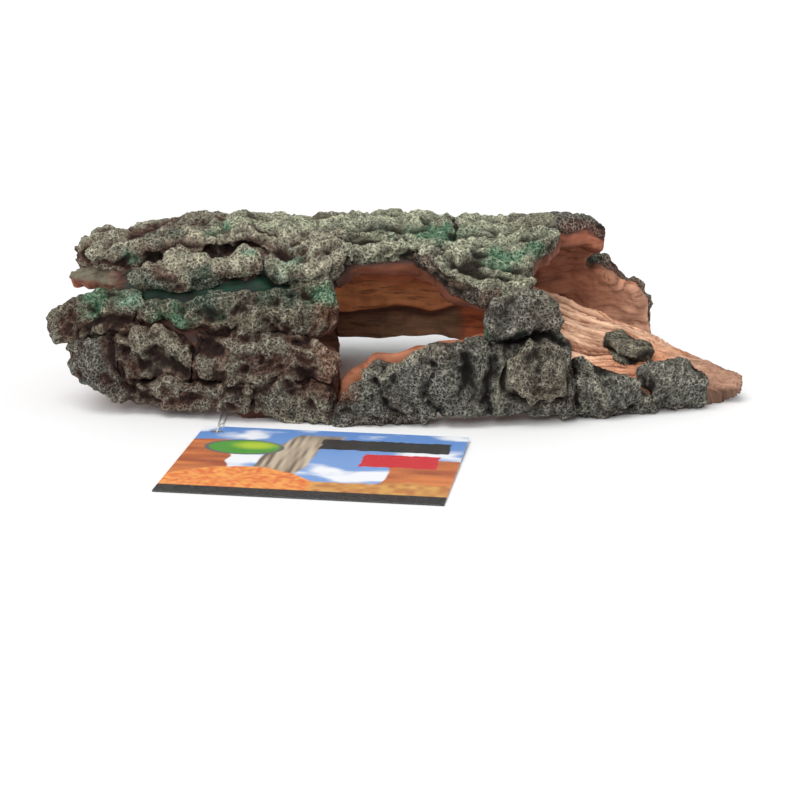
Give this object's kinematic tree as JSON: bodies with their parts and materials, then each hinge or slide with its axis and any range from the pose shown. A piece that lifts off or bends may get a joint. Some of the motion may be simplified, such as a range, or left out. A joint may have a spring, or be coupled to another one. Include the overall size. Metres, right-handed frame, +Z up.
{
  "type": "resin aquarium cave ornament",
  "caption": "Hollow half-log cave ornament of cast resin with rough bark plates, a front window, open ends, a sloping heartwood ramp and a swing tag on a thread",
  "frame": {"origin": "on the floor under the middle of the casting's box, the swing tag and its thread left out", "axes": "+X along the log towards the ramp's point, -Y out of the front window, +Z up"},
  "size_m": [0.2388, 0.1807, 0.0604],
  "materials": {
    "shell": "matt painted cast resin",
    "heartwood": "matt painted cast resin",
    "bark_grey": "matt, dry-brushed cast resin",
    "bark_dark": "matt, dry-brushed cast resin",
    "bark_olive": "matt, dry-brushed cast resin",
    "bark_moss": "matt, dry-brushed cast resin",
    "card": "printed, satin",
    "thread": "twisted thread",
    "glue": "set glue"
  },
  "bodies": {
    "ornament": {"wood_front_left": "shell", "wood_roof": "shell", "wood_sill": "shell", "wood_front_right": "shell", "wood_rear_left": "shell", "wood_rear_middle": "shell", "wood_rear_right": "shell", "heartwood_ramp": "heartwood", "bark_crown_left": "bark_olive", "bark_ledge_upper": "bark_grey", "bark_ledge_lower": "bark_moss", "bark_window_corner": "bark_grey", "bark_crown_middle": "bark_grey", "bark_roof_front": "bark_grey", "bark_crown_right": "bark_moss", "bark_window_edge": "bark_dark", "bark_wall_left": "bark_olive", "bark_roll_left": "bark_moss", "bark_lobe_left": "bark_dark", "bark_plate_left": "bark_grey", "bark_plate_window": "bark_grey", "bark_plate_foot_left": "bark_grey", "bark_foot_middle": "bark_grey", "bark_sill": "bark_dark", "bark_boulder": "bark_dark", "bark_front_middle": "bark_dark", "bark_tongue": "bark_grey", "bark_front_right": "bark_dark", "bark_low_right": "bark_dark", "bark_patch_ramp": "bark_olive", "bark_rear_left_upper": "bark_grey", "bark_rear_left_lower": "bark_olive", "bark_rear_middle_upper": "bark_grey", "bark_rear_middle_lower": "bark_dark", "bark_rear_right_upper": "bark_dark", "bark_rear_right_lower": "bark_olive", "tag_thread": "thread", "thread_anchor": "glue"},
    "tag": {"tag_card": "card"}
  },
  "joints": [
    {"name": "tag_swivel", "type": "hinge", "parent": "ornament", "child": "tag", "pos_m": [-0.0596, -0.0583, 0], "axis": [0, 0, 1], "range_deg": [-60, 8]}
  ]
}
